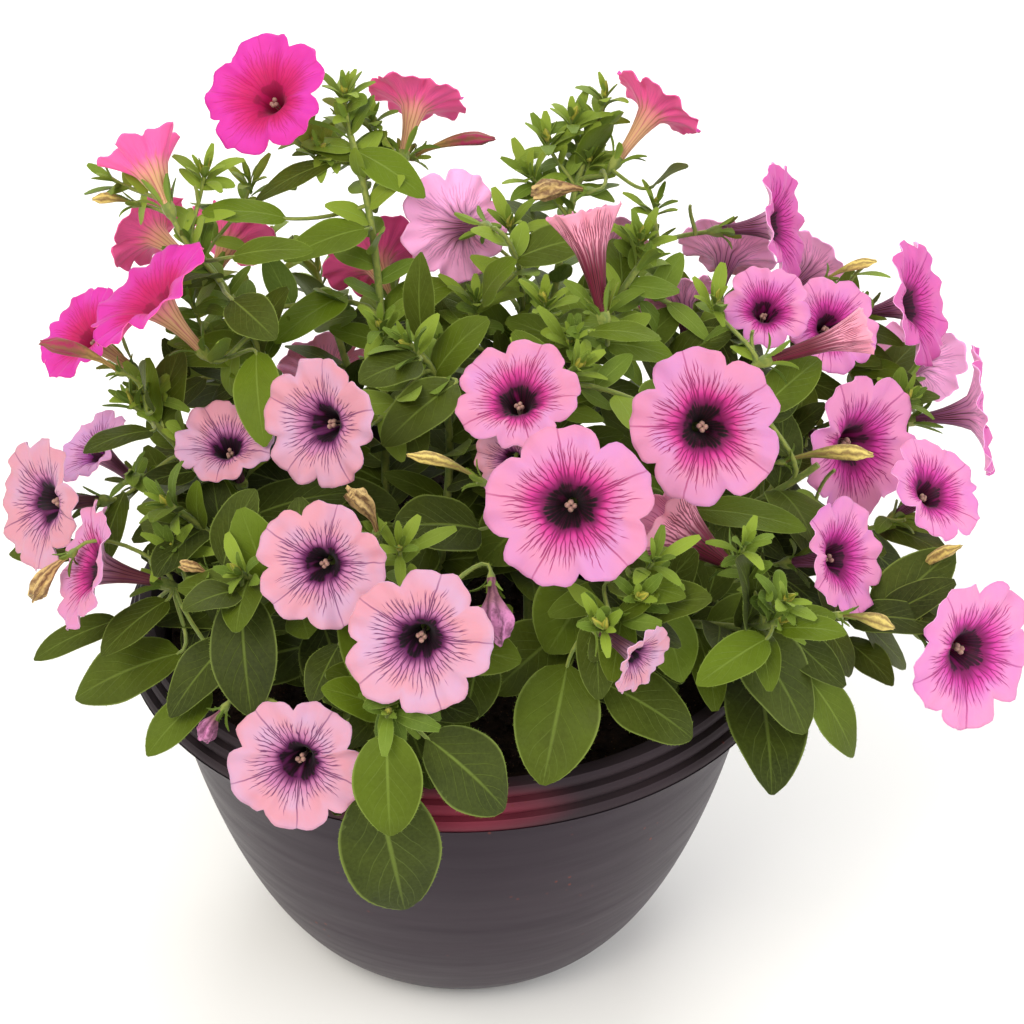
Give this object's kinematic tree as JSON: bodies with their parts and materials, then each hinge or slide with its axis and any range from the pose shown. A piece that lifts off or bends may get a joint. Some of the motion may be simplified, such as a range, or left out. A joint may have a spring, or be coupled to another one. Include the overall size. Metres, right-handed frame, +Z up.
{
  "type": "petunia hanging basket",
  "caption": "Moulded bowl of potting soil planted with trailing petunias, its leafy stems spilling over the rim and carrying trumpet flowers; stands on a flat base.",
  "frame": {"origin": "middle of the bowl's flat base", "axes": "+Z up out of the bowl; -Y towards the side that is seen first; +X to the right seen from there"},
  "size_m": [0.4448, 0.3805, 0.3943],
  "materials": {
    "pot": "satin moulded plastic, charcoal with a faint purple tint",
    "soil": "loose dark potting soil",
    "green": "soft, finely haired leaves and stems",
    "petal_hot_pink": "thin matt petal with darker veins",
    "petal_magenta": "thin matt petal with darker veins",
    "petal_pink": "thin matt petal with darker veins",
    "petal_pale_pink": "thin matt petal with darker veins",
    "petal_mauve": "thin matt petal with darker veins",
    "petal_faded": "thin matt petal with darker veins"
  },
  "bodies": {
    "root": {"pot": "pot", "soil": "soil", "leafy_stem_a": "green", "leafy_stem_b": "green", "leafy_stem_c": "green", "leafy_stem_d": "green", "leafy_stem_e": "green", "leafy_stem_f": "green", "leafy_stem_g": "green", "leafy_stem_h": "green", "leafy_stem_i": "green", "leafy_stem_j": "green", "leafy_stem_k": "green", "leafy_stem_l": "green", "leafy_stem_m": "green", "leafy_stem_n": "green", "leafy_stem_o": "green", "leafy_stem_p": "green", "leafy_stem_q": "green", "flower_01": "petal_hot_pink", "flower_02": "petal_hot_pink", "flower_03": "petal_hot_pink", "flower_04": "petal_hot_pink", "flower_05": "petal_hot_pink", "flower_06": "petal_hot_pink", "flower_07": "petal_hot_pink", "flower_08": "petal_mauve", "flower_09": "petal_hot_pink", "flower_10": "petal_hot_pink", "flower_11": "petal_faded", "flower_12": "petal_magenta", "flower_13": "petal_magenta", "flower_14": "petal_magenta", "flower_15": "petal_magenta", "flower_16": "petal_faded", "flower_17": "petal_magenta", "flower_18": "petal_magenta", "flower_19": "petal_magenta", "flower_20": "petal_magenta", "flower_21": "petal_magenta", "flower_22": "petal_magenta", "flower_23": "petal_mauve", "flower_24": "petal_magenta", "flower_25": "petal_pink", "flower_26": "petal_pink", "flower_27": "petal_pink", "flower_28": "petal_pale_pink", "flower_29": "petal_pale_pink", "flower_30": "petal_pale_pink", "flower_31": "petal_pale_pink", "flower_32": "petal_pale_pink", "flower_33": "petal_pale_pink", "flower_34": "petal_pale_pink", "flower_35": "petal_mauve", "flower_36": "petal_pale_pink", "flower_37": "petal_pink", "flower_38": "petal_mauve", "flower_39": "petal_pink", "flower_40": "petal_magenta", "flower_41": "petal_mauve"}
  },
  "joints": []
}
